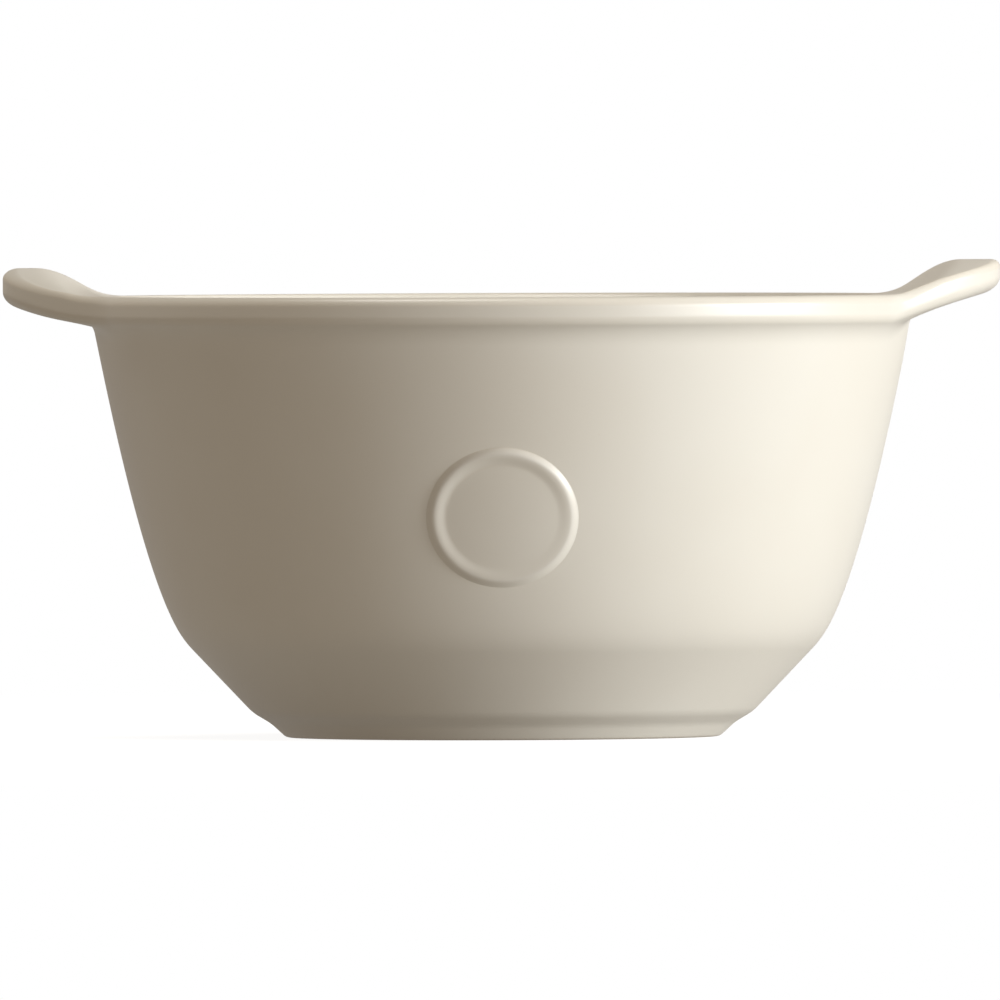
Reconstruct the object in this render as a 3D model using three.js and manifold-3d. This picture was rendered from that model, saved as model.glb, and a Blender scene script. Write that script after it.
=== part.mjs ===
// Ovenproof bowl with two lugs, in glazed stoneware. Millimetres, +Z up.
// The origin is the centre of the foot's standing face, the lugs lie along X,
// and the front of the bowl, with its raised roundel, faces -Y.
import * as THREE from 'three';
import { mergeVertices } from 'three/addons/utils/BufferGeometryUtils.js';
import Module from 'manifold-3d';

const wasm = await Module();
wasm.setup();

// Foot and base
const footRadius = 36.6;
const footFlare = 1.8;
const footHeight = 2.3;
const footRingWidth = 5.5;
const footEdgeRound = 1.2;
const baseRadius = 41.4;
const baseHeight = 4.1;

// Wall
const creaseRadius = 52.6;
const creaseHeight = 15.9;
const bellyRadius = 59.2;
const bellyHeight = 27;
const wallThickness = 5;

// Inside floor
const floorThickness = 4.5;
const floorRadius = 26;

// Rim
const rimRadius = 69.5;
const rimOverhang = 2.5;
const rimHeight = 73;
const rimBandHeight = 4.1;
const rimCoveHeight = 3.5;
const rimUndercut = 0.3;
const rimOuterRound = 2.5;
const rimInnerRound = 2.8;

// Lugs
const lugProjection = 13;
const lugRise = 5.4;
const lugHalfAngle = THREE.MathUtils.degToRad(21);
const lugEdgeThickness = 4.2;
const lugEdgeRound = 1.5;
const lugHeelRound = 2.4;
const lugEndProjection = 1.3;
const lugFullness = 0.8;
const lugEdgeShare = 0.8;
const lugEdgePower = 1.1;
const lugRidgeRun = 11;

// Roundel
const roundelWidth = 24.6;
const roundelHeight = 22.6;
const roundelCentreHeight = 36.9;
const roundelBandWidth = 3.2;
const roundelCrestInset = 1.2;
const roundelRelief = 0.62;
const roundelFieldLift = 0.3;

// Glaze coat and the space between neighbouring pieces
const glazeThickness = 0.4;
const jointGap = 0.3;

// Facets
const turnSteps = 48;
const wallSteps = 6;
const coveSteps = 3;
const floorSteps = 4;
const roundSteps = 4;
const lugSteps = 16;
const lugTopSteps = 6;
const lugUnderSteps = 4;
const lugEdgeSteps = 2;
const roundelSteps = 40;
const roundelRings = 3;

// Heights and radii that follow from the driving dimensions
const rimSeat = rimHeight - rimBandHeight;
const wallTopHeight = rimSeat - rimCoveHeight;
const wallTopRadius = rimRadius - rimOverhang;
const floorTop = footHeight + floorThickness;
const footTopRadius = footRadius + footFlare;
const roundelRadius = roundelWidth / 2;
const roundelSquat = roundelHeight / roundelWidth;
const glazeSeat = glazeThickness + jointGap;
const lugSeatRadius = rimRadius + jointGap;
const rimShoulderRadius = rimRadius - rimOuterRound;
const lugRoot = rimHeight + jointGap;
const lugReach = lugProjection - jointGap;

const clay = new THREE.MeshStandardMaterial({ color: 0xd8c9ae, roughness: 0.85, metalness: 0 });
const glaze = new THREE.MeshStandardMaterial({ color: 0xf3f1e7, roughness: 0.22, metalness: 0 });

function point(radius, height) {
  return new THREE.Vector2(radius, height);
}

// A soft curve from one point to another that leaves and arrives along the lines through the control point.
function bend(start, control, end, steps) {
  return new THREE.QuadraticBezierCurve(start, control, end).getPoints(steps);
}

// A round stretch of an outline about a centre, between two angles in degrees.
function round(centre, radius, from, to, steps) {
  const angles = Array.from({ length: steps + 1 }, (_, i) => from + (to - from) * i / steps);
  return angles.map((angle) => {
    const turn = THREE.MathUtils.degToRad(angle);
    return point(centre.x + radius * Math.cos(turn), centre.y + radius * Math.sin(turn));
  });
}

// Where the line through two points reaches a height.
function pointAtHeight(a, b, height) {
  const share = (height - a.y) / (b.y - a.y);
  return point(a.x + (b.x - a.x) * share, height);
}

// Moves an outline to the left of its direction. An end on the axis stays there, any other keeps its height.
function offsetOutline(points, distance) {
  const last = points.length - 1;
  const normals = points.slice(1).map((next, i) => {
    const along = next.clone().sub(points[i]).normalize();
    return point(-along.y, along.x);
  });
  const moved = points.map((here, i) => {
    const before = normals[Math.max(i - 1, 0)];
    const after = normals[Math.min(i, last - 1)];
    const mitre = before.clone().add(after).divideScalar(1 + before.dot(after));
    return here.clone().addScaledVector(mitre, distance);
  });
  if (points[0].x > 0) {
    moved[0] = pointAtHeight(moved[0], moved[1], points[0].y);
  }
  if (points[last].x > 0) {
    moved[last] = pointAtHeight(moved[last - 1], moved[last], points[last].y);
  }
  return moved;
}

// The wall's curve from the crease up to the cove under the rim.
function wallCurve() {
  const crease = point(creaseRadius, creaseHeight);
  const belly = point(bellyRadius, bellyHeight);
  const top = point(wallTopRadius, wallTopHeight);
  return bend(crease, belly, top, wallSteps);
}

// The glazed outside, from the foot's shoulder up to the underside of the rim band.
function outsideOutline() {
  const wall = wallCurve();
  const top = wall[wallSteps];
  const flare = pointAtHeight(wall[wallSteps - 1], top, (wallTopHeight + rimSeat) / 2);
  const cove = bend(top, flare, point(rimRadius - rimUndercut, rimSeat), coveSteps);
  return [point(footTopRadius, footHeight), point(baseRadius, baseHeight), ...wall, ...cove.slice(1)];
}

// The glazed inside, from the middle of the floor up to the underside of the rim band.
function insideOutline() {
  const wall = wallCurve();
  const seat = pointAtHeight(wall[wallSteps - 1], wall[wallSteps], rimSeat);
  const inner = offsetOutline([...wall, seat], wallThickness);
  const heel = pointAtHeight(inner[0], inner[1], floorTop);
  const sweep = bend(point(floorRadius, floorTop), heel, inner[0], floorSteps);
  return [point(0, floorTop), ...sweep, ...inner.slice(1)];
}

// A solid of revolution about Z from an outline that closes on itself or on the axis.
function turned(outline) {
  const geometry = new THREE.LatheGeometry(outline, turnSteps);
  return geometry.rotateX(Math.PI / 2);
}

function closed(outline) {
  return [...outline, outline[0].clone()];
}

function manifoldOf(geometry) {
  const bare = geometry.clone();
  bare.deleteAttribute('normal');
  bare.deleteAttribute('uv');
  const welded = mergeVertices(bare);
  const vertProperties = Float32Array.from(welded.attributes.position.array);
  const triVerts = Uint32Array.from(welded.index.array);
  return new wasm.Manifold(new wasm.Mesh({ numProp: 3, vertProperties, triVerts }));
}

function cutAway(geometry, tool) {
  const mesh = manifoldOf(geometry).subtract(manifoldOf(tool)).getMesh();
  const result = new THREE.BufferGeometry();
  result.setAttribute('position', new THREE.BufferAttribute(mesh.vertProperties, 3));
  result.setIndex(new THREE.BufferAttribute(mesh.triVerts, 1));
  return result;
}

// A solid swept through a row of closed sections with equal counts of points, capped at both ends.
function loft(sections, cap) {
  const count = sections[0].length;
  const last = (sections.length - 1) * count;
  const faces = [];
  for (let i = 0; i + 1 < sections.length; i += 1) {
    for (let j = 0; j < count; j += 1) {
      const a = i * count + j;
      const b = i * count + (j + 1) % count;
      faces.push(a, b, b + count, a, b + count, a + count);
    }
  }
  for (const [a, b, c] of cap) {
    faces.push(a, b, c, last + a, last + c, last + b);
  }
  const geometry = new THREE.BufferGeometry();
  geometry.setFromPoints(sections.flat());
  geometry.setIndex(faces);
  return geometry;
}

function clayBody() {
  const outer = offsetOutline(outsideOutline(), glazeSeat);
  const inner = offsetOutline(insideOutline(), -glazeSeat);
  return turned([point(0, footHeight), ...outer, ...inner.reverse()]);
}

function outerGlaze() {
  const skin = outsideOutline();
  const back = offsetOutline(skin, glazeThickness);
  const coat = turned(closed([...skin, ...back.reverse()]));
  const windowRadius = roundelRadius + jointGap;
  const window = new THREE.CylinderGeometry(windowRadius, windowRadius, rimRadius, roundelSteps);
  window.scale(1, 1, (roundelHeight / 2 + jointGap) / windowRadius);
  window.translate(0, -rimRadius, roundelCentreHeight);
  return cutAway(coat, window);
}

function innerGlaze() {
  const skin = insideOutline();
  const back = offsetOutline(skin, -glazeThickness);
  return turned([...back, ...skin.reverse()]);
}

function rimBand() {
  const inside = insideOutline();
  const innerRadius = inside[inside.length - 1].x;
  const outerCentre = point(rimShoulderRadius, rimHeight - rimOuterRound);
  const innerCentre = point(innerRadius + rimInnerRound, rimHeight - rimInnerRound);
  return turned(closed([
    point(innerRadius, rimSeat),
    point(rimRadius - rimUndercut, rimSeat),
    ...round(outerCentre, rimOuterRound, 0, 90, roundSteps),
    ...round(innerCentre, rimInnerRound, 90, 180, roundSteps),
  ]));
}

function footRing() {
  const edge = point(footRadius - footEdgeRound, footEdgeRound);
  return turned(closed([
    point(footRadius - footRingWidth, 0),
    ...round(edge, footEdgeRound, -90, 0, roundSteps),
    point(footTopRadius, footHeight),
    point(footRadius - footRingWidth, footHeight),
  ]));
}

// How far a lug has grown out of the rim at an angle from its middle, as a share of its full reach.
function lugSwell(angle) {
  return ((1 + Math.cos(Math.PI * angle / lugHalfAngle)) / 2) ** lugFullness;
}

// The angle from a lug's middle at which it has grown by a share of its full reach.
function lugAngle(swell) {
  return lugHalfAngle * Math.acos(2 * swell ** (1 / lugFullness) - 1) / Math.PI;
}

// How high a lug's edge has climbed where it has grown so far, as a share of the lug's rise.
function lugEdge(swell) {
  return lugEdgeShare * swell ** lugEdgePower;
}

// A lug's top is a ridge that climbs from the rim's crest, and falls to a lower edge on both sides.
function lugTop(radius, angle, crestRadius) {
  const along = THREE.MathUtils.clamp((radius - crestRadius) / lugRidgeRun, 0, 1);
  const ridge = Math.sin(Math.PI / 2 * along);
  const swell = THREE.MathUtils.clamp((radius - lugSeatRadius) / lugReach, 0, 1);
  const edge = lugEdge(swell);
  const off = swell < 1 ? Math.min(Math.abs(angle) / lugAngle(swell), 1) : 0;
  return lugRoot + lugRise * (edge + (ridge - edge) * (1 - off ** 2));
}

// One cut through a lug: it springs from the rim's crest, climbs and ends in a thick rounded edge.
function lugSection(angle) {
  const inside = insideOutline();
  const crestRadius = inside[inside.length - 1].x + rimInnerRound;
  const swell = lugSwell(angle);
  const reach = lugSeatRadius + lugReach * swell;
  const edgeRound = Math.min(lugEdgeRound, (reach - lugSeatRadius) / 2);
  const heelRound = Math.min(lugHeelRound, (reach - lugSeatRadius) / 2);
  const run = reach - edgeRound - crestRadius;
  const crown = Array.from({ length: lugTopSteps + 1 }, (_, i) => {
    const radius = crestRadius + run * i / lugTopSteps;
    return point(radius, lugTop(radius, angle, crestRadius));
  });
  const top = lugRoot + lugRise * lugEdge(swell);
  const under = top - lugEdgeThickness;
  const heel = point(reach - heelRound, under);
  const foot = point(lugSeatRadius, rimSeat);
  const throat = point((heel.x + foot.x) / 2, Math.min(foot.y, heel.y));
  const shoulder = point(rimShoulderRadius, rimHeight - rimOuterRound);
  return [
    ...crown,
    ...bend(crown[lugTopSteps], point(reach, top), point(reach, top - edgeRound), lugEdgeSteps).slice(1),
    ...bend(point(reach, under + heelRound), point(reach, under), heel, lugEdgeSteps),
    ...bend(heel, throat, foot, lugUnderSteps).slice(1),
    ...round(shoulder, rimOuterRound + jointGap, 0, 90, roundSteps),
  ];
}

// A lug about the direction given: it swells out of the rim and fades back into it on both sides.
function lug(direction) {
  const endAngle = lugAngle(lugEndProjection / lugProjection);
  const sections = [];
  for (let i = 0; i <= lugSteps; i += 1) {
    const angle = endAngle * (2 * i / lugSteps - 1);
    const turn = direction + angle;
    sections.push(lugSection(angle).map(
      (p) => new THREE.Vector3(p.x * Math.cos(turn), p.x * Math.sin(turn), p.y)));
  }
  const cap = THREE.ShapeUtils.triangulateShape(lugSection(endAngle), []);
  return loft(sections, cap);
}

function wallRadiusAt(height) {
  const outline = outsideOutline();
  const above = outline.findIndex((p, i) => i > 0 && p.y >= height);
  return pointAtHeight(outline[above - 1], outline[above], height).x;
}

// A round tablet with a raised border, bent to lie on the front of the wall.
// Halfway along, the border's curve has half its control point's height and a quarter of the field's,
// so the control point stands at twice the relief less half the field's lift.
function roundel() {
  const field = Array.from({ length: roundelRings }, (_, i) => {
    return point((roundelRadius - roundelBandWidth) * i / roundelRings, roundelFieldLift);
  });
  const back = Array.from({ length: roundelRings }, (_, i) => {
    return point(roundelRadius * i / roundelRings, -glazeThickness);
  });
  const border = bend(
    point(roundelRadius - roundelBandWidth, roundelFieldLift),
    point(roundelRadius - roundelCrestInset, 2 * roundelRelief - roundelFieldLift / 2),
    point(roundelRadius, 0), roundSteps);
  const tablet = new THREE.LatheGeometry(
    [...back, point(roundelRadius, -glazeThickness), ...border.reverse(), ...field.reverse()],
    roundelSteps);
  const places = tablet.attributes.position;
  for (let i = 0; i < places.count; i += 1) {
    const across = places.getX(i);
    const height = roundelCentreHeight - places.getZ(i) * roundelSquat;
    const out = wallRadiusAt(height) + places.getY(i);
    places.setXYZ(i, across, -Math.sqrt(out ** 2 - across ** 2), height);
  }
  return tablet;
}

function piece(name, geometry, material) {
  const mesh = new THREE.Mesh(geometry, material);
  mesh.name = name;
  return mesh;
}

const bowl = new THREE.Group();
bowl.name = 'lug_bowl';
bowl.add(piece('clay_body', clayBody(), clay));
bowl.add(piece('foot_ring', footRing(), clay));
bowl.add(piece('rim_band', rimBand(), glaze));
bowl.add(piece('lug_right', lug(0), glaze));
bowl.add(piece('lug_left', lug(Math.PI), glaze));
bowl.add(piece('roundel', roundel(), glaze));
bowl.add(piece('outer_glaze', outerGlaze(), glaze));
bowl.add(piece('inner_glaze', innerGlaze(), glaze));

export default bowl;
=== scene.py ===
"""An ovenproof bowl with two lugs: its glazed and bare surfaces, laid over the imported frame."""
import logging
import math
from collections.abc import Sequence
from dataclasses import dataclass
from enum import Enum
from typing import ClassVar

import bmesh
import bpy
from mathutils import Matrix, Vector


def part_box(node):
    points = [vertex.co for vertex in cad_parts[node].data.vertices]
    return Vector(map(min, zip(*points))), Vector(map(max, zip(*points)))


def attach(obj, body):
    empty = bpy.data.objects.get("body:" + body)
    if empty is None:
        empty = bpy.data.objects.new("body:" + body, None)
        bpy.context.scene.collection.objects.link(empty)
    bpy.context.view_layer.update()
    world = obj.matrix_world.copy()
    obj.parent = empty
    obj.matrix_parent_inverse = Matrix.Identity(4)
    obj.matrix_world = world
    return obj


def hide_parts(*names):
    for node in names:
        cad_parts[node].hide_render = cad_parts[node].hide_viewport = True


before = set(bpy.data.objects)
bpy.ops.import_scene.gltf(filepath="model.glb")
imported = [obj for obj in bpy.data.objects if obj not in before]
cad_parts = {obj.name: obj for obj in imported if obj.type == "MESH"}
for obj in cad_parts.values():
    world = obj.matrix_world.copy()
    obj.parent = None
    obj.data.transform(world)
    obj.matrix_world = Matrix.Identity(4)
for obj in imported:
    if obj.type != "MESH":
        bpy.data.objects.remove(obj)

log = logging.getLogger("bowl")

MM = 0.001
BODY = "root"
TURN_STEPS = 360
CORE_STEPS = 120
SAME_PLACE = 0.001 * MM
SHARP_ANGLE = math.radians(35)


class Slot(Enum):
    """The two finishes: bare clay and glaze."""

    CLAY = "clay"
    GLAZE = "glaze"


class Ray(Enum):
    """The kinds of ray that see the white of the studio and not its light."""

    CAMERA = "Is Camera Ray"
    GLOSSY = "Is Glossy Ray"
    TRANSMISSION = "Is Transmission Ray"


WHITE_SHARES = {Ray.CAMERA: 1.0, Ray.GLOSSY: 0.18, Ray.TRANSMISSION: 1.0}


# Shader maths

class Value:
    """A number that a node gives, joined to others with Python's operators."""

    def __init__(self, graph: "Graph", socket: bpy.types.NodeSocket) -> None:
        """Keeps the graph and the socket that the number comes from."""
        self.graph = graph
        self.socket = socket

    def math(self, operation: str, *others: "Value | float") -> "Value":
        """Adds a Math node with this number first.

        Args:
            operation: the Math node's operation.
            others: the numbers that follow.

        Returns:
            The node's result.
        """
        return self.graph.math(operation, self, *others)

    def __add__(self, other: "Value | float") -> "Value":
        """This number and another together."""
        return self.math("ADD", other)

    def __radd__(self, other: float) -> "Value":
        """A plain number and this one together."""
        return self.graph.math("ADD", other, self)

    def __sub__(self, other: "Value | float") -> "Value":
        """This number less another."""
        return self.math("SUBTRACT", other)

    def __rsub__(self, other: float) -> "Value":
        """A plain number less this one."""
        return self.graph.math("SUBTRACT", other, self)

    def __mul__(self, other: "Value | float") -> "Value":
        """This number times another."""
        return self.math("MULTIPLY", other)

    def __rmul__(self, other: float) -> "Value":
        """A plain number times this one."""
        return self.graph.math("MULTIPLY", other, self)

    def __truediv__(self, other: "Value | float") -> "Value":
        """This number divided by another."""
        return self.math("DIVIDE", other)

    def __rtruediv__(self, other: float) -> "Value":
        """A plain number divided by this one."""
        return self.graph.math("DIVIDE", other, self)

    def ramp(self, low: float, high: float) -> "Value":
        """Rises smoothly from 0 to 1 between two values of this number.

        Args:
            low: where the rise starts.
            high: where it ends.

        Returns:
            The share of the rise.
        """
        node = self.graph.node(
            "ShaderNodeMapRange",
            {"interpolation_type": "SMOOTHSTEP", "clamp": True},
            {"Value": self, "From Min": low, "From Max": high, "To Min": 0.0, "To Max": 1.0},
        )
        return Value(self.graph, node.outputs["Result"])


class Graph:
    """A node tree that is filled by plain calls."""

    def __init__(self, tree: bpy.types.NodeTree) -> None:
        """Empties the tree that is to be filled."""
        self.tree = tree
        tree.nodes.clear()

    def node(self, kind: str, settings: dict | None = None, inputs: dict | None = None) -> bpy.types.Node:
        """Adds one node.

        Args:
            kind: the node's type.
            settings: its own properties, which are set first.
            inputs: the values or links of its sockets, by name or index.

        Returns:
            The node.
        """
        made = self.tree.nodes.new(kind)
        for name, setting in (settings or {}).items():
            setattr(made, name, setting)
        for name, given in (inputs or {}).items():
            socket = made.inputs[name]
            if isinstance(given, Value):
                given = given.socket
            if isinstance(given, bpy.types.NodeSocket):
                self.tree.links.new(given, socket)
            else:
                socket.default_value = given
        return made

    def math(self, operation: str, *numbers: "Value | float") -> Value:
        """Adds a Math node.

        Args:
            operation: the node's operation.
            numbers: its inputs in order.

        Returns:
            The node's result.
        """
        made = self.node("ShaderNodeMath", {"operation": operation}, dict(enumerate(numbers)))
        return Value(self, made.outputs[0])

    def mix(self, share: "Value | float", first: object, second: object) -> bpy.types.NodeSocket:
        """Mixes two colours.

        Args:
            share: how much of the second colour there is.
            first: a colour or a colour socket.
            second: a colour or a colour socket.

        Returns:
            The mixed colour's socket.
        """
        made = self.node("ShaderNodeMix", {"data_type": "RGBA"}, {0: share, 6: first, 7: second})
        return made.outputs[2]

    def noise(self, place: bpy.types.NodeSocket, grain: float, detail: float) -> Value:
        """Adds a cloud of noise.

        Args:
            place: the coordinates that it is laid on.
            grain: the size of its largest patches, in metres.
            detail: how many finer layers it has.

        Returns:
            The noise, about 0.5 on average.
        """
        inputs = {"Vector": place, "Scale": 1.0 / grain, "Detail": detail, "Roughness": 0.5}
        made = self.node("ShaderNodeTexNoise", None, inputs)
        return Value(self, made.outputs["Fac"])

    def specks(self, place: bpy.types.NodeSocket, spacing: float, size: float) -> Value:
        """Scatters small round dots.

        Args:
            place: the coordinates that they are laid on.
            spacing: the distance between them, in metres.
            size: a dot's radius as a share of the spacing.

        Returns:
            A mask that is 1 in a dot's middle and 0 outside.
        """
        made = self.node("ShaderNodeTexVoronoi", None, {"Vector": place, "Scale": 1.0 / spacing})
        return 1.0 - Value(self, made.outputs["Distance"]).ramp(0.3 * size, size)


def shader_graph(name: str) -> tuple[bpy.types.Material, Graph]:
    """Starts a material.

    Args:
        name: the material's name.

    Returns:
        The material and its empty graph.
    """
    material = bpy.data.materials.new(name)
    material.use_nodes = True
    return material, Graph(material.node_tree)


def white_rays(graph: Graph) -> Value:
    """Tells the rays that see the studio's white from those that carry light.

    Args:
        graph: the graph that the mask is for.

    Returns:
        A mask that is 1 for camera and transmission rays, and less for glossy ones.
    """
    path = graph.node("ShaderNodeLightPath")
    mask: Value | None = None
    for ray, share in WHITE_SHARES.items():
        seen = Value(graph, path.outputs[ray.value]) * share
        mask = seen if mask is None else mask.math("MAXIMUM", seen)
    return mask


# Finishes

@dataclass(frozen=True)
class IvoryGlaze:
    """A glossy ivory glaze that thins to a warmer tone on edges and pools paler in hollows."""

    colour: tuple[float, float, float, float] = (0.896, 0.880, 0.800, 1.0)
    cloud: tuple[float, float, float, float] = (0.878, 0.856, 0.770, 1.0)
    thin: tuple[float, float, float, float] = (0.840, 0.780, 0.660, 1.0)
    pooled: tuple[float, float, float, float] = (0.902, 0.888, 0.820, 1.0)
    speck: tuple[float, float, float, float] = (0.620, 0.510, 0.360, 1.0)
    cloud_grain: float = 34 * MM
    ripple_grain: float = 5 * MM
    speck_spacing: float = 6.5 * MM
    roughness: float = 0.30
    roughness_spread: float = 0.05
    ripple_depth: float = 0.012 * MM
    detail: float = 2.0
    cloud_range: tuple[float, float] = (0.35, 0.7)
    edge_range: tuple[float, float] = (90.0, 520.0)
    edge_share: float = 0.35
    edge_cloud_share: float = 0.5
    hollow_range: tuple[float, float] = (60.0, 420.0)
    hollow_share: float = 0.6
    speck_size: float = 0.035
    speck_share: float = 0.12
    speck_roughness: float = 0.15
    ior: float = 1.5

    def material(self) -> bpy.types.Material:
        """Lays the glaze's nodes.

        Returns:
            The material.
        """
        material, graph = shader_graph("ivory_glaze")
        place = graph.node("ShaderNodeTexCoord").outputs["Object"]
        clouds = graph.noise(place, self.cloud_grain, self.detail)
        ripples = graph.noise(place, self.ripple_grain, self.detail)
        specks = graph.specks(place, self.speck_spacing, self.speck_size)
        curve_node = graph.node("ShaderNodeAttribute", {"attribute_name": CURVE_LAYER})
        curve = Value(graph, curve_node.outputs["Fac"])
        edges = curve.ramp(*self.edge_range) * (self.edge_share + self.edge_cloud_share * clouds)
        hollows = (-1.0 * curve).ramp(*self.hollow_range)
        colour = graph.mix(clouds.ramp(*self.cloud_range), self.colour, self.cloud)
        colour = graph.mix(hollows * self.hollow_share, colour, self.pooled)
        colour = graph.mix(edges, colour, self.thin)
        colour = graph.mix(specks * self.speck_share, colour, self.speck)
        roughness = self.roughness + self.roughness_spread * clouds + self.speck_roughness * specks
        bump = graph.node(
            "ShaderNodeBump", None,
            {"Strength": 1.0, "Distance": self.ripple_depth, "Height": ripples},
        )
        shader = graph.node(
            "ShaderNodeBsdfPrincipled", None,
            {
                "Base Color": colour,
                "Roughness": roughness,
                "IOR": self.ior,
                "Normal": bump.outputs["Normal"],
            },
        )
        graph.node("ShaderNodeOutputMaterial", None, {"Surface": shader.outputs["BSDF"]})
        return material


@dataclass(frozen=True)
class BareClay:
    """Unglazed fired clay: matt, a little sandy, with fine dark grog."""

    colour: tuple[float, float, float, float] = (0.690, 0.580, 0.420, 1.0)
    worn: tuple[float, float, float, float] = (0.560, 0.455, 0.320, 1.0)
    grog: tuple[float, float, float, float] = (0.300, 0.225, 0.150, 1.0)
    cloud_grain: float = 12 * MM
    sand_grain: float = 0.7 * MM
    grog_spacing: float = 2.2 * MM
    roughness: float = 0.8
    sand_depth: float = 0.06 * MM
    cloud_detail: float = 4.0
    sand_detail: float = 3.0
    cloud_range: tuple[float, float] = (0.4, 0.75)
    grog_size: float = 0.14
    grog_share: float = 0.55
    sand_roughness: float = 0.12
    sand_strength: float = 0.7
    ior: float = 1.45

    def material(self) -> bpy.types.Material:
        """Lays the clay's nodes.

        Returns:
            The material.
        """
        material, graph = shader_graph("bare_clay")
        place = graph.node("ShaderNodeTexCoord").outputs["Object"]
        clouds = graph.noise(place, self.cloud_grain, self.cloud_detail)
        sand = graph.noise(place, self.sand_grain, self.sand_detail)
        grog = graph.specks(place, self.grog_spacing, self.grog_size)
        colour = graph.mix(clouds.ramp(*self.cloud_range), self.colour, self.worn)
        colour = graph.mix(grog * self.grog_share, colour, self.grog)
        bump = graph.node(
            "ShaderNodeBump", None,
            {"Strength": self.sand_strength, "Distance": self.sand_depth, "Height": sand},
        )
        shader = graph.node(
            "ShaderNodeBsdfPrincipled", None,
            {
                "Base Color": colour,
                "Roughness": self.roughness + self.sand_roughness * sand,
                "IOR": self.ior,
                "Normal": bump.outputs["Normal"],
            },
        )
        graph.node("ShaderNodeOutputMaterial", None, {"Surface": shader.outputs["BSDF"]})
        return material


@dataclass(frozen=True)
class StudioWhite:
    """A floor that the camera sees as white, with the object's shadow on it, and that glows a little:
    painted light, a faint warm glow that lights the bowl from below though the floor is no lamp.
    """

    colour: tuple[float, float, float, float] = (0.16, 0.15, 0.135, 1.0)
    warm: tuple[float, float, float, float] = (1.0, 0.86, 0.72, 1.0)
    shadowed: tuple[float, float, float, float] = (0.30, 0.30, 0.30, 1.0)
    white: tuple[float, float, float, float] = (1.0, 1.0, 1.0, 1.0)
    glow: float = 0.9
    under_glow: float = 0.13
    near: float = 0.12
    far: float = 0.45

    def material(self) -> bpy.types.Material:
        """Lays the floor's nodes.

        Returns:
            The material.
        """
        material, graph = shader_graph("studio_white")
        place = graph.node("ShaderNodeTexCoord").outputs["Object"]
        length = graph.node("ShaderNodeVectorMath", {"operation": "LENGTH"}, {0: place})
        away = Value(graph, length.outputs["Value"]).ramp(self.near, self.far)
        matt = graph.node("ShaderNodeBsdfDiffuse", None, {"Color": self.colour})
        # painted light: the floor glows warm for light rays and lights the bowl's underside, though it is
        # no lamp
        under_glow = graph.node("ShaderNodeEmission", None, {"Color": self.warm, "Strength": self.under_glow})
        lit = graph.node(
            "ShaderNodeAddShader", None, {0: matt.outputs["BSDF"], 1: under_glow.outputs["Emission"]},
        )
        shade = graph.node("ShaderNodeBsdfDiffuse", None, {"Color": self.shadowed})
        glow = graph.node("ShaderNodeEmission", None, {"Color": self.white, "Strength": self.glow})
        close = graph.node(
            "ShaderNodeAddShader", None, {0: shade.outputs["BSDF"], 1: glow.outputs["Emission"]},
        )
        plain = graph.node("ShaderNodeEmission", None, {"Color": self.white, "Strength": 1.0})
        seen = graph.node(
            "ShaderNodeMixShader", None,
            {0: away, 1: close.outputs["Shader"], 2: plain.outputs["Emission"]},
        )
        both = graph.node(
            "ShaderNodeMixShader", None,
            {0: white_rays(graph), 1: lit.outputs["Shader"], 2: seen.outputs["Shader"]},
        )
        graph.node("ShaderNodeOutputMaterial", None, {"Surface": both.outputs["Shader"]})
        return material


# Outlines in the plane of radius and height

@dataclass(frozen=True)
class Corner:
    """A corner of an outline, rounded off between two distances along its legs."""

    radius: float
    height: float
    before: float = 0.0
    after: float = 0.0
    steps: int = 8
    lead: int = 4

    @property
    def place(self) -> Vector:
        """The corner's place in the plane of X and Z."""
        return Vector((self.radius, 0.0, self.height))

    def towards(self, other: "Corner", share: float) -> "Corner":
        """Finds a corner part of the way to another.

        Args:
            other: the corner at the far end.
            share: how far along, from 0 to 1.

        Returns:
            The corner between, with this one's counts of points.
        """
        return Corner(
            self.radius + (other.radius - self.radius) * share,
            self.height + (other.height - self.height) * share,
            self.before + (other.before - self.before) * share,
            self.after + (other.after - self.after) * share,
            self.steps,
            self.lead,
        )


def bend(start: Vector, control: Vector, end: Vector, steps: int) -> list[Vector]:
    """Draws a soft bend that leaves and arrives along the lines through a control point.

    Args:
        start: where it starts.
        control: where its two end tangents meet.
        end: where it ends.
        steps: how many stretches it has.

    Returns:
        Its points, without the start. Equal legs give an arc of a circle.
    """
    turn = (control - start).angle(end - control, 0.0)
    weight = math.cos(turn / 2)
    points = []
    for i in range(1, steps + 1):
        t = i / steps
        shares = ((1 - t) ** 2, 2 * t * (1 - t) * weight, t ** 2)
        total = sum(shares)
        points.append((start * shares[0] + control * shares[1] + end * shares[2]) / total)
    return points


def rounded(corners: Sequence[Corner]) -> list[Vector]:
    """Walks along an outline and rounds each corner between its two ends.

    Args:
        corners: the outline's corners in order.

    Returns:
        The outline's points, as many for one set of counts whatever the sizes.
    """
    path = [corners[0].place]
    for previous, here, following in zip(corners, corners[1:], corners[2:]):
        arrive = here.place + (previous.place - here.place).normalized() * here.before
        leave = here.place + (following.place - here.place).normalized() * here.after
        path += straight(path[-1], arrive, here.lead)
        path += bend(arrive, here.place, leave, here.steps)
    path += straight(path[-1], corners[-1].place, corners[-1].lead)
    return path


def straight(start: Vector, end: Vector, steps: int) -> list[Vector]:
    """Divides a straight stretch.

    Args:
        start: where it starts.
        end: where it ends.
        steps: how many parts it has; none leaves it out.

    Returns:
        Its points, without the start.
    """
    return [start.lerp(end, i / steps) for i in range(1, steps + 1)]


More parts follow.
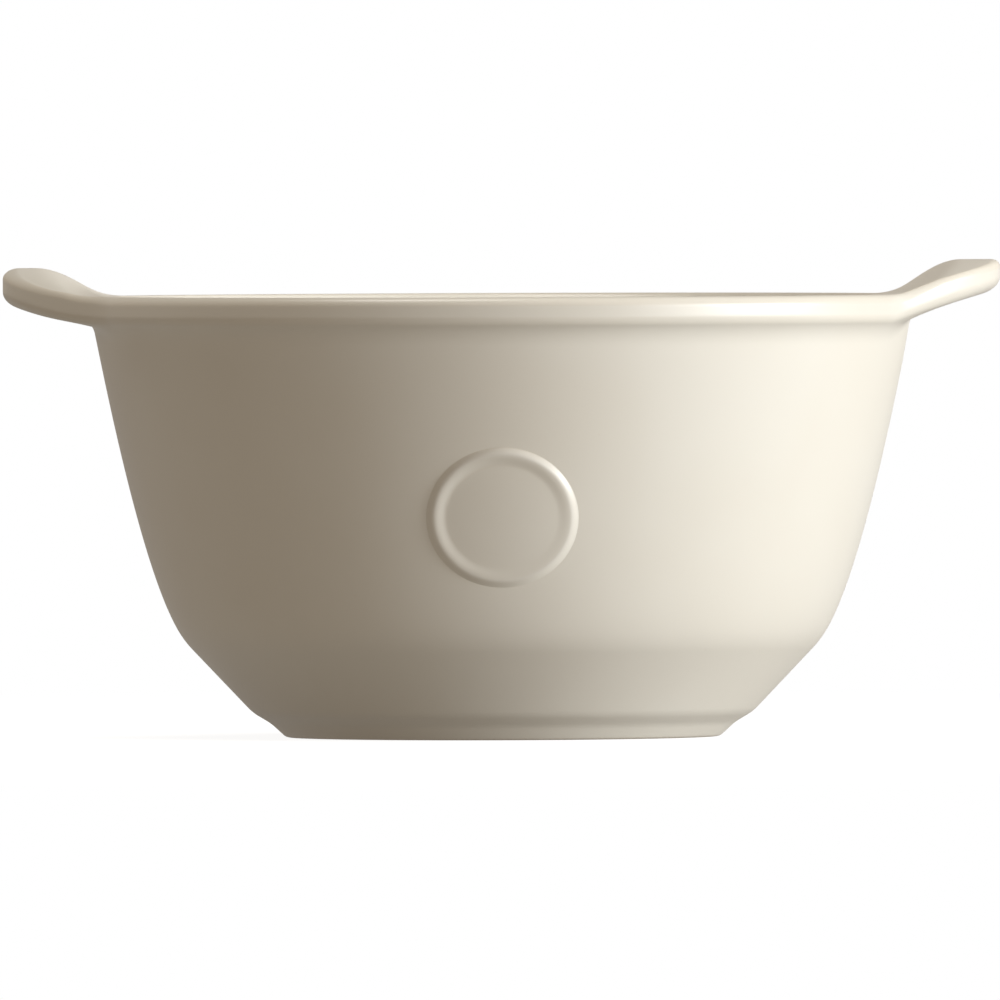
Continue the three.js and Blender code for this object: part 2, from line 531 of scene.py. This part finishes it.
def radius_at(curve: Sequence[Vector], height: float) -> float:
    """Finds the radius of a rising curve at a height.

    Args:
        curve: the curve's points, the lowest first.
        height: a height between its ends.

    Returns:
        The radius there.
    """
    above = next(i for i, place in enumerate(curve) if place.z >= height)
    low, high = curve[max(above - 1, 0)], curve[max(above, 1)]
    return low.lerp(high, (height - low.z) / (high.z - low.z)).x


# Shared mesh work

CURVE_LAYER = "edge_curve"
STATION_LAYER = "station"


def spun(path: Sequence[Vector], closed: bool, steps: int) -> bmesh.types.BMesh:
    """Turns an outline once round the Z axis.

    Args:
        path: the outline's points.
        closed: whether its last point joins its first.
        steps: how many parts the turn has.

    Returns:
        The turned mesh, whose vertices know which point of the outline they come from.
    """
    shape = bmesh.new()
    station = shape.verts.layers.int.new(STATION_LAYER)
    verts = [shape.verts.new(place) for place in path]
    for count, vert in enumerate(verts):
        vert[station] = count
    pairs = list(zip(verts, verts[1:]))
    if closed:
        pairs.append((verts[-1], verts[0]))
    edges = [shape.edges.new(pair) for pair in pairs]
    bmesh.ops.spin(
        shape, geom=verts + edges, axis=(0, 0, 1), cent=(0, 0, 0),
        angle=math.tau, steps=steps, use_merge=True,
    )
    return shape


def cleaned(shape: bmesh.types.BMesh) -> None:
    """Merges the doubles of a mesh and turns its faces outwards."""
    bmesh.ops.remove_doubles(shape, verts=shape.verts, dist=SAME_PLACE)
    bmesh.ops.recalc_face_normals(shape, faces=shape.faces)


def mark_curves(shape: bmesh.types.BMesh) -> None:
    """Notes on each vertex how sharply the surface bends there, positive where it bulges."""
    curve = shape.verts.layers.float.new(CURVE_LAYER)
    shape.normal_update()
    seam = {vert for edge in shape.edges if not edge.smooth for vert in edge.verts}
    for vert in shape.verts:
        bends = []
        for edge in vert.link_edges:
            other = edge.other_vert(vert)
            if vert in seam or other in seam:
                continue
            step = other.co - vert.co
            bends.append((other.normal - vert.normal).dot(step) / step.length_squared)
        vert[curve] = sum(bends) / len(bends) if bends else 0.0


def as_object(shape: bmesh.types.BMesh, name: str) -> bpy.types.Object:
    """Makes an object of a finished mesh, smooth but for its hidden seams.

    Args:
        shape: the mesh, which is freed.
        name: the object's name.

    Returns:
        The object, at the origin.
    """
    for face in shape.faces:
        face.smooth = True
    for edge in shape.edges:
        edge.smooth = edge.calc_face_angle(0.0) < SHARP_ANGLE
    mark_curves(shape)
    mesh = bpy.data.meshes.new(name)
    shape.to_mesh(mesh)
    shape.free()
    made = bpy.data.objects.new(name, mesh)
    bpy.context.scene.collection.objects.link(made)
    return made


# The bowl's section, shared by its pieces

def clamped(number: float) -> float:
    """The number, kept between 0 and 1."""
    return min(max(number, 0.0), 1.0)


@dataclass(frozen=True)
class Lug:
    """One of the two lugs: a ridge that climbs out of the rim and falls to a lower edge on both sides."""

    direction: float
    reach: float
    top: float
    ridge_start: float
    ridge_run: float
    edge_share: float
    edge_power: float
    edge_thickness: float
    throat_height: float
    tip_round: float
    half_angle: float = math.radians(21)
    fullness: float = 0.8
    ridge_power: float = 1.25
    growth_rate: float = 3.0
    side_power: float = 2.0
    side_power_drop: float = 0.6
    fade_power: float = 2.0
    tip_power: int = 4

    def swell(self, off: float) -> float:
        """How far the lug has grown out of the rim at an angle off its middle, from 0 to 1."""
        share = min(off / self.half_angle, 1.0)
        return ((1 + math.cos(math.pi * share)) / 2) ** self.fullness

    def edge_angle(self, swell: float) -> float:
        """The angle off the lug's middle at which it has grown so far."""
        return self.half_angle * math.acos(2 * swell ** (1 / self.fullness) - 1) / math.pi

    def edge_rise(self, swell: float) -> float:
        """How high the edge has climbed there, as a share of the lug's rise."""
        return self.edge_share * swell ** self.edge_power

    def rise(self, radius: float, off: float, rim_radius: float) -> float:
        """Finds how high the lug's top stands over the rim.

        Args:
            radius: the place's distance from the bowl's axis.
            off: its angle off the lug's middle.
            rim_radius: where the lug leaves the rim.

        Returns:
            The height as a share of the lug's rise.
        """
        ridge = math.sin(math.pi / 2 * clamped((radius - self.ridge_start) / self.ridge_run))
        swell = clamped((radius - rim_radius) / (self.reach - rim_radius))
        edge = self.edge_rise(swell)
        side = min(off / self.edge_angle(swell), 1.0) if swell < 1.0 else 0.0
        grown = clamped(self.growth_rate * swell)
        slope = 1 - side ** (self.side_power - self.side_power_drop * grown)
        fade = slope ** (self.fade_power - grown)
        return edge + (ridge ** self.ridge_power - edge) * fade


@dataclass(frozen=True)
class BowlSection:
    """The sizes of the bowl's cross-section. What the frame states is read from it."""

    rim_radius: float
    rim_height: float
    foot_top_radius: float
    foot_height: float
    foot_edge_radius: float = 35.9 * MM
    glaze_lift: float = 0.03 * MM
    glaze_line: float = 0.45 * MM
    base_radius: float = 41.4 * MM
    base_height: float = 4.1 * MM
    crease_radius: float = 52.6 * MM
    crease_height: float = 15.9 * MM
    crease_round: float = 1.9 * MM
    belly_radius: float = 59.2 * MM
    belly_height: float = 27.0 * MM
    wall_top_radius: float = 67.0 * MM
    wall_top_height: float = 65.4 * MM
    wall_thickness: float = 5.0 * MM
    seam_height: float = 62.0 * MM
    floor_height: float = 6.8 * MM
    floor_corner_radius: float = 40.6 * MM
    floor_round: float = 14.3 * MM
    inner_belly_radius: float = 54.5 * MM
    inner_belly_height: float = 28.9 * MM
    glaze_thickness: float = 0.5 * MM
    band_height: float = 4.0 * MM
    rim_round: float = 1.5 * MM
    lug_round: float = 1.2 * MM
    inner_round: float = 1.3 * MM
    inner_drop: float = 2.8 * MM
    foot_edge_below: float = 0.42 * MM
    foot_edge_above: float = 0.5 * MM
    foot_top_below: float = 0.8 * MM
    foot_top_above: float = 0.9 * MM
    base_round: float = 1.1 * MM
    cove_radius: float = 67.3 * MM
    cove_height: float = 66.9 * MM
    cove_below: float = 2.0 * MM
    cove_above: float = 1.8 * MM
    throat_radius: float = 67.7 * MM
    throat_round: float = 1.9 * MM
    lip_round: float = 0.9 * MM
    heel_below: float = 3.2 * MM
    heel_above: float = 2.2 * MM
    top_steps: int = 24

    @classmethod
    def from_frame(cls) -> "BowlSection":
        """Reads the outer sizes of the frame's own nodes.

        Returns:
            The section.
        """
        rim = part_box("rim_band")[1]
        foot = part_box("foot_ring")[1]
        return cls(rim.x, rim.z, foot.x, foot.z)

    @property
    def wall_lean(self) -> float:
        """How far the upper wall leans out for each metre that it rises."""
        return (self.wall_top_radius - self.belly_radius) / (self.wall_top_height - self.belly_height)

    def outer_wall(self, height: float) -> float:
        """The outer radius of the straight upper wall at a height."""
        return self.wall_top_radius + (height - self.wall_top_height) * self.wall_lean

    def inner_wall(self, height: float) -> float:
        """The inner radius of the straight upper wall at a height."""
        return self.outer_wall(height) - self.wall_thickness * math.hypot(1.0, self.wall_lean)

    def wall_corner(self) -> Corner:
        """The bend of the outer wall, which takes up its whole length from the crease to the seam.

        Returns:
            The corner.
        """
        belly = Vector((self.belly_radius, 0.0, self.belly_height))
        crease = Vector((self.crease_radius, 0.0, self.crease_height))
        seam = Vector((self.outer_wall(self.seam_height), 0.0, self.seam_height))
        lower_leg = (belly - crease).length - self.crease_round
        return Corner(belly.x, belly.z, lower_leg, (seam - belly).length, steps=48, lead=0)

    def outside(self) -> list[Vector]:
        """The outside from the glaze line at the foot up to the seam under the rim.

        Returns:
            The outline's points.
        """
        start = self.foot_edge_radius - self.glaze_line
        return rounded([
            Corner(start, self.glaze_lift),
            Corner(
                self.foot_edge_radius, self.glaze_lift,
                self.foot_edge_below, self.foot_edge_above, steps=6, lead=1,
            ),
            Corner(
                self.foot_top_radius, self.foot_height,
                self.foot_top_below, self.foot_top_above, steps=8, lead=4,
            ),
            Corner(
                self.base_radius, self.base_height,
                self.base_round, self.base_round, steps=10, lead=4,
            ),
            Corner(
                self.crease_radius, self.crease_height,
                self.crease_round, self.crease_round, steps=14, lead=14,
            ),
            self.wall_corner(),
            Corner(self.outer_wall(self.seam_height), self.seam_height, lead=0),
        ])

    def wall_curve(self) -> list[Vector]:
        """The outer wall's curve from the crease up to the seam.

        Returns:
            The curve's points, the lowest first.
        """
        corner = self.wall_corner()
        crease = Vector((self.crease_radius, 0.0, self.crease_height))
        seam = Vector((self.outer_wall(self.seam_height), 0.0, self.seam_height))
        start = corner.place + (crease - corner.place).normalized() * corner.before
        return [start, *bend(start, corner.place, seam, corner.steps)]

    def inside(self) -> list[Vector]:
        """The inside from the middle of the floor up to the seam under the rim.

        Returns:
            The outline's points.
        """
        heel = Vector((self.floor_corner_radius, 0.0, self.floor_height))
        belly = Vector((self.inner_belly_radius, 0.0, self.inner_belly_height))
        seam = Vector((self.inner_wall(self.seam_height), 0.0, self.seam_height))
        lower_leg = (belly - heel).length - self.floor_round
        return rounded([
            Corner(0.0, self.floor_height),
            Corner(heel.x, heel.z, self.floor_round, self.floor_round, steps=20, lead=14),
            Corner(belly.x, belly.z, lower_leg, (seam - belly).length, steps=48, lead=0),
            Corner(seam.x, seam.z, lead=0),
        ])

    def rim(self, lug: Lug, off: float) -> list[Vector]:
        """The rim from the outer seam over its crest to the inner seam.

        Args:
            lug: the nearer lug.
            off: the angle off that lug's middle.

        Returns:
            The outline's points, as many for any angle.
        """
        swell = lug.swell(off)
        crest = self.rim_height
        reach = self.rim_radius + (lug.reach - self.rim_radius) * swell
        edge = crest + (lug.top - crest) * lug.edge_rise(swell)
        cove = Corner(
            self.cove_radius, self.cove_height, self.cove_below, self.cove_above, steps=10, lead=4,
        )
        throat = Corner(self.throat_radius, lug.throat_height, self.throat_round, self.throat_round)
        lip = Corner(reach, edge - self.band_height, self.lip_round, self.lip_round, steps=10, lead=6)
        heel = Corner(reach, edge - lug.edge_thickness, self.heel_below, self.heel_above)
        over = self.rim_round * (1 - swell) + lug.tip_round * swell ** lug.tip_power

        def top(radius: float) -> Vector:
            """The point of the rim's top at a radius."""
            rise = lug.rise(radius, off, self.rim_radius)
            return Vector((radius, 0.0, crest + (lug.top - crest) * rise))

        shoulder = top(reach - over)
        brow = math.hypot(shoulder.z - edge, self.lug_round * swell) + over * (1 - swell)
        turn = Corner(reach, shoulder.z, brow, over, steps=12)
        path = rounded([
            Corner(self.outer_wall(self.seam_height), self.seam_height),
            cove.towards(throat, swell),
            lip.towards(heel, swell),
            turn,
            Corner(shoulder.x, shoulder.z, lead=0),
        ])
        inner = Vector((self.inner_wall(crest), 0.0, crest))
        seam = Vector((self.inner_wall(self.seam_height), 0.0, self.seam_height))
        run = inner.x + self.inner_round - shoulder.x
        path += [top(shoulder.x + run * i / self.top_steps) for i in range(1, self.top_steps + 1)]
        path += bend(path[-1], inner, inner + (seam - inner).normalized() * self.inner_drop, 12)
        return path + straight(path[-1], seam, 8)


# Pieces of the bowl

@dataclass
class Piece:
    """One piece of the bowl: how it is built, what it is dressed in and which nodes it stands for."""

    section: BowlSection
    name: ClassVar[str] = ""
    nodes: ClassVar[tuple[str, ...]] = ()
    slot: ClassVar[Slot] = Slot.GLAZE

    def build(self) -> bmesh.types.BMesh:
        """Models the piece; each kind of piece has its own way."""
        raise NotImplementedError

    def dress(self, finish: bpy.types.Material) -> bpy.types.Object:
        """Builds the piece, gives it its finish and sets it in the frame.

        Args:
            finish: the material that covers it.

        Returns:
            The finished object.
        """
        made = as_object(self.build(), self.name)
        made.data.materials.append(finish)
        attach(made, BODY)
        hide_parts(*self.nodes)
        log.info("%s: %d faces in %s", self.name, len(made.data.polygons), finish.name)
        return made


@dataclass
class ClayCore(Piece):
    """The clay wall and floor under the glaze; only the recess inside the foot shows."""

    name: ClassVar[str] = "clay_core"
    nodes: ClassVar[tuple[str, ...]] = ("clay_body",)
    slot: ClassVar[Slot] = Slot.CLAY
    cover: float = 1.0 * MM
    recess_dome: float = 0.5 * MM

    def build(self) -> bmesh.types.BMesh:
        """Turns the wall's middle, one glaze coat in from both skins.

        Returns:
            The mesh.
        """
        s = self.section
        top = s.seam_height - self.cover
        underside = s.foot_height
        path = rounded([
            Corner(0.0, underside + self.recess_dome),
            Corner(s.foot_top_radius - self.cover, underside, 12 * MM, 0.2 * MM, steps=10, lead=8),
            Corner(s.base_radius - self.cover, s.base_height + self.cover, 0.5 * MM, 0.5 * MM, lead=2),
            Corner(s.crease_radius - self.cover, s.crease_height + self.cover, 2 * MM, 2 * MM, lead=6),
            Corner(s.belly_radius - self.cover, s.belly_height + self.cover, 8 * MM, 20 * MM, lead=4),
            Corner(s.outer_wall(top) - self.cover, top, 0.3 * MM, 0.3 * MM, steps=2, lead=6),
            Corner(s.inner_wall(top) + self.cover, top, 0.3 * MM, 0.3 * MM, steps=2, lead=2),
            Corner(s.inner_belly_radius + self.cover, s.inner_belly_height, 20 * MM, 8 * MM, lead=6),
            Corner(s.floor_corner_radius, s.floor_height - self.cover, 14 * MM, 14 * MM, lead=4),
            Corner(0.0, s.floor_height - self.cover, lead=8),
        ])
        shape = spun(path, closed=False, steps=CORE_STEPS)
        cleaned(shape)
        return shape


@dataclass
class FootRing(Piece):
    """The standing ring: bare clay where it meets the table, with softened edges."""

    name: ClassVar[str] = "foot_ring_bare"
    nodes: ClassVar[tuple[str, ...]] = ("foot_ring",)
    slot: ClassVar[Slot] = Slot.CLAY
    width: float = 4.6 * MM
    edge_round: float = 0.8 * MM
    draft: float = 0.6 * MM
    glaze_cover: float = 0.7 * MM

    def build(self) -> bmesh.types.BMesh:
        """Turns the ring's section.

        Returns:
            The mesh.
        """
        s = self.section
        outer = s.foot_edge_radius - s.glaze_line
        inner = outer - self.width
        path = rounded([
            Corner(s.foot_top_radius - 2 * self.glaze_cover, s.foot_height),
            Corner(inner - self.draft, s.foot_height, 0.3 * MM, 0.3 * MM, steps=3, lead=4),
            Corner(inner, 0.0, self.edge_round, self.edge_round, steps=8, lead=3),
            Corner(outer, 0.0, 0.02 * MM, 0.02 * MM, steps=2, lead=6),
            Corner(s.foot_top_radius - 2 * self.glaze_cover, s.foot_height, lead=4),
        ])
        shape = spun(path[:-1], closed=True, steps=TURN_STEPS)
        cleaned(shape)
        return shape


@dataclass
class OuterCoat(Piece):
    """The glazed outside: foot, cone, crease and wall."""

    name: ClassVar[str] = "outer_coat"
    nodes: ClassVar[tuple[str, ...]] = ("outer_glaze",)

    def build(self) -> bmesh.types.BMesh:
        """Turns the outside and thickens it inwards.

        Returns:
            The mesh.
        """
        shape = spun(self.section.outside(), closed=False, steps=TURN_STEPS)
        cleaned(shape)
        bmesh.ops.solidify(shape, geom=shape.faces[:], thickness=self.section.glaze_thickness)
        return shape


@dataclass
class InnerCoat(Piece):
    """The glazed inside: floor and wall."""

    name: ClassVar[str] = "inner_coat"
    nodes: ClassVar[tuple[str, ...]] = ("inner_glaze",)

    def build(self) -> bmesh.types.BMesh:
        """Turns the inside and thickens it towards the clay.

        Returns:
            The mesh.
        """
        shape = spun(self.section.inside(), closed=False, steps=TURN_STEPS)
        cleaned(shape)
        middle = min(shape.faces, key=lambda face: face.calc_center_median().length)
        if middle.normal.z < 0:
            bmesh.ops.reverse_faces(shape, faces=shape.faces)
        bmesh.ops.solidify(shape, geom=shape.faces[:], thickness=self.section.glaze_thickness)
        return shape


@dataclass
class RimWithLugs(Piece):
    """The rounded rim and the two lugs that are drawn out of it."""

    name: ClassVar[str] = "rim_with_lugs"
    nodes: ClassVar[tuple[str, ...]] = ("rim_band", "lug_left", "lug_right")
    left_droop: float = 0.95 * MM

    def lugs(self) -> list[Lug]:
        """The two lugs, which differ a little in the photograph.

        Returns:
            The right lug and then the left one.
        """
        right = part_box("lug_right")[1]
        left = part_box("lug_left")
        return [
            Lug(
                direction=0.0, reach=right.x, top=right.z,
                ridge_start=64.1 * MM, ridge_run=12.0 * MM, edge_share=0.9, edge_power=0.8,
                edge_thickness=4.35 * MM, throat_height=69.85 * MM, tip_round=1.5 * MM,
            ),
            Lug(
                direction=math.pi, reach=-left[0].x, top=left[1].z - self.left_droop,
                ridge_start=65.2 * MM, ridge_run=12.0 * MM, edge_share=0.7, edge_power=1.9,
                edge_thickness=4.75 * MM, throat_height=68.83 * MM, tip_round=2.8 * MM,
            ),
        ]

    def build(self) -> bmesh.types.BMesh:
        """Turns the plain rim and then draws the lugs out of it.

        Returns:
            The mesh.
        """
        right, left = self.lugs()
        shape = spun(self.section.rim(right, math.pi / 2), closed=True, steps=TURN_STEPS)
        station = shape.verts.layers.int[STATION_LAYER]
        outlines: dict[tuple[float, float], list[Vector]] = {}
        for vert in shape.verts:
            angle = math.atan2(vert.co.y, vert.co.x)
            lug = right if vert.co.x > 0 else left
            off = round(abs(math.remainder(angle - lug.direction, math.tau)), 6)
            key = (lug.direction, min(off, lug.half_angle))
            if key not in outlines:
                outlines[key] = self.section.rim(lug, off)
            vert.co = Matrix.Rotation(angle, 3, "Z") @ outlines[key][vert[station]]
        cleaned(shape)
        return shape


@dataclass
class Roundel(Piece):
    """A plain raised ring on the front of the wall, round a bare field pressed in at a slight tilt."""

    name: ClassVar[str] = "roundel_ring"
    nodes: ClassVar[tuple[str, ...]] = ("roundel",)
    relief: float = 0.58 * MM
    outer_slope: float = 1.7 * MM
    spread: float = 0.6 * MM
    inner_slope: float = 2.2 * MM
    field_drop: float = 0.34 * MM
    field_tilt: float = 0.24 * MM
    tilt_angle: float = math.radians(-40)
    edge_sink: float = 0.1 * MM
    depth: float = 0.35 * MM
    steps: int = 192
    field_steps: int = 12
    slope_steps: int = 14

    def height(self, across: float, up: float, crest: float) -> float:
        """Finds how far the ring or its field stands out of the wall.

        Args:
            across: the place's distance to the right of the middle, before the ring is squatted.
            up: its distance above the middle.
            crest: the radius of the ring's crest.

        Returns:
            The height out of the wall.
        """
        radius = math.hypot(across, up)
        if radius > crest:
            share = clamped((radius - crest) / self.outer_slope)
            return self.relief * (1 + math.cos(math.pi * share)) / 2 - self.edge_sink * share
        towards = across * math.cos(self.tilt_angle) + up * math.sin(self.tilt_angle)
        drop = self.field_drop - self.field_tilt * towards / crest
        share = clamped((crest - radius) / self.inner_slope)
        return self.relief - drop * (1 - math.cos(math.pi * share)) / 2

    def build(self) -> bmesh.types.BMesh:
        """Turns a flat disc, lifts the ring out of it, squats it a little and bends it to the wall.

        Returns:
            The mesh.
        """
        low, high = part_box("roundel")
        half_width = (high.x - low.x) / 2 + self.spread
        half_height = (high.z - low.z) / 2 + self.spread
        middle = (high.z + low.z) / 2
        crest = half_width - self.outer_slope
        path = [Vector((0.0, 0.0, 0.0))]
        path += straight(path[-1], Vector((crest - self.inner_slope, 0.0, 0.0)), self.field_steps)
        path += straight(path[-1], Vector((crest, 0.0, 0.0)), self.slope_steps)
        path += straight(path[-1], Vector((half_width, 0.0, 0.0)), self.slope_steps)
        path += [Vector((half_width, 0.0, -self.depth)), Vector((0.0, 0.0, -self.depth))]
        shape = spun(path, closed=False, steps=self.steps)
        cleaned(shape)
        wall = self.section.wall_curve()
        for vert in shape.verts:
            across, up, lift = vert.co
            if lift > -self.depth / 2:
                lift = self.height(across, up, crest)
            height = middle + up * half_height / half_width
            out = radius_at(wall, height) + lift
            vert.co = (across, -math.sqrt(out ** 2 - across ** 2), height)
        bmesh.ops.recalc_face_normals(shape, faces=shape.faces)
        return shape


# Studio

@dataclass(frozen=True)
class Softbox:
    """A lamp with a flat rectangular face that hangs round the bowl and doesn't show."""

    name: str
    azimuth: float
    elevation: float
    level: float
    width: float
    height: float
    distance: float
    colour: tuple[float, float, float] = (1.0, 1.0, 1.0)

    def hang(self, aim: Vector) -> bpy.types.Object:
        """Hangs the lamp and turns it to the bowl.

        Args:
            aim: the point that it looks at.

        Returns:
            The lamp, at the power that renders a white card facing it at its level.
        """
        azimuth = math.radians(self.azimuth)
        elevation = math.radians(self.elevation)
        out = Vector((
            math.sin(azimuth) * math.cos(elevation),
            -math.cos(azimuth) * math.cos(elevation),
            math.sin(elevation),
        ))
        lamp = bpy.data.lights.new(self.name, "AREA")
        lamp.shape = "RECTANGLE"
        lamp.size = self.width
        lamp.size_y = self.height
        lamp.color = self.colour
        lamp.energy = self.level * (math.pi * self.distance) ** 2
        made = bpy.data.objects.new(self.name, lamp)
        made.location = aim + out * self.distance
        made.rotation_euler = (-out).to_track_quat("-Z", "Y").to_euler()
        made.visible_camera = False
        bpy.context.scene.collection.objects.link(made)
        return made


@dataclass
class Studio:
    """The white floor, the lamps, the world and the camera."""

    floor_radius: float = 3.0
    camera_distance: float = 6.0
    camera_azimuth: float = 0.0
    camera_height: float = 106.0 * MM
    camera_roll: float = 0.2
    aim_across: float = -0.38 * MM
    aim_height: float = 39.12 * MM
    frame_width: float = 165.4 * MM
    fill_colour: tuple[float, float, float, float] = (1.0, 0.80, 0.62, 1.0)
    fill_level: float = 0.40
    zenith_level: float = 0.1
    zenith_end: float = 0.9
    lamp_distance: float = 2.4

    def lay_floor(self) -> bpy.types.Object:
        """Lays the floor that the bowl stands on.

        Returns:
            The floor.
        """
        shape = bmesh.new()
        bmesh.ops.create_circle(shape, cap_ends=True, radius=self.floor_radius, segments=128)
        bmesh.ops.recalc_face_normals(shape, faces=shape.faces)
        mesh = bpy.data.meshes.new("floor")
        shape.to_mesh(mesh)
        shape.free()
        floor = bpy.data.objects.new("floor", mesh)
        bpy.context.scene.collection.objects.link(floor)
        floor.data.materials.append(StudioWhite().material())
        return floor

    def light(self) -> None:
        """Hangs the lamps and sets the world's white and its dim fill."""
        aim = Vector((0.0, 0.0, self.aim_height))
        lamps = [
            Softbox(
                name="key", azimuth=76.0, elevation=8.0, level=0.77,
                width=1.4, height=0.4, distance=self.lamp_distance, colour=(0.97, 0.985, 1.0),
            ),
            Softbox(
                name="front", azimuth=54.0, elevation=8.0, level=0.26,
                width=1.2, height=0.6, distance=self.lamp_distance,
            ),
            Softbox(
                name="overhead", azimuth=-90.0, elevation=78.0, level=0.4,
                width=1.0, height=1.0, distance=self.lamp_distance, colour=(1.0, 0.97, 0.92),
            ),
        ]
        for lamp in lamps:
            lamp.hang(aim)
        world = bpy.data.worlds.new("studio")
        world.use_nodes = True
        bpy.context.scene.world = world
        graph = Graph(world.node_tree)
        direction = graph.node("ShaderNodeTexCoord").outputs["Generated"]
        parts = graph.node("ShaderNodeSeparateXYZ", None, {"Vector": direction})
        up = Value(graph, parts.outputs["Z"]).ramp(0.0, self.zenith_end)
        level = self.fill_level + up * (self.zenith_level - self.fill_level)
        fill = graph.node("ShaderNodeBackground", None, {"Color": self.fill_colour, "Strength": level})
        white = graph.node("ShaderNodeBackground", None, {"Color": (1.0, 1.0, 1.0, 1.0), "Strength": 1.0})
        both = graph.node(
            "ShaderNodeMixShader", None,
            {0: white_rays(graph), 1: fill.outputs["Background"], 2: white.outputs["Background"]},
        )
        graph.node("ShaderNodeOutputWorld", None, {"Surface": both.outputs["Shader"]})

    def set_camera(self) -> bpy.types.Object:
        """Sets the camera at the photograph's viewing angle.

        Returns:
            The camera.
        """
        data = bpy.data.cameras.new("camera")
        data.sensor_width = 36.0
        camera = bpy.data.objects.new("camera", data)
        azimuth = math.radians(self.camera_azimuth)
        camera.location = (
            self.camera_distance * math.sin(azimuth),
            -self.camera_distance * math.cos(azimuth),
            self.camera_height,
        )
        aim = Vector((self.aim_across, 0.0, self.aim_height))
        look = aim - camera.location
        data.lens = data.sensor_width * look.length / self.frame_width
        data.clip_start = 0.1
        data.clip_end = 4 * self.camera_distance
        level = look.to_track_quat("-Z", "Y").to_matrix().to_4x4()
        roll = Matrix.Rotation(-math.radians(self.camera_roll), 4, "Z")
        camera.matrix_world = Matrix.Translation(camera.location) @ level @ roll
        bpy.context.scene.collection.objects.link(camera)
        bpy.context.scene.camera = camera
        return camera


def main() -> None:
    """Builds the bowl piece by piece and sets it in the studio."""
    logging.basicConfig(level=logging.INFO, format="%(name)s: %(message)s")
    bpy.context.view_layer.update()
    bpy.context.scene.view_settings.view_transform = "Standard"
    section = BowlSection.from_frame()
    glaze = IvoryGlaze().material()
    clay = BareClay().material()
    ClayCore(section).dress(clay)
    FootRing(section).dress(clay)
    OuterCoat(section).dress(glaze)
    RimWithLugs(section).dress(glaze)
    InnerCoat(section).dress(glaze)
    Roundel(section).dress(glaze)
    studio = Studio()
    studio.lay_floor()
    studio.light()
    studio.set_camera()


if __name__ == "__main__":
    main()
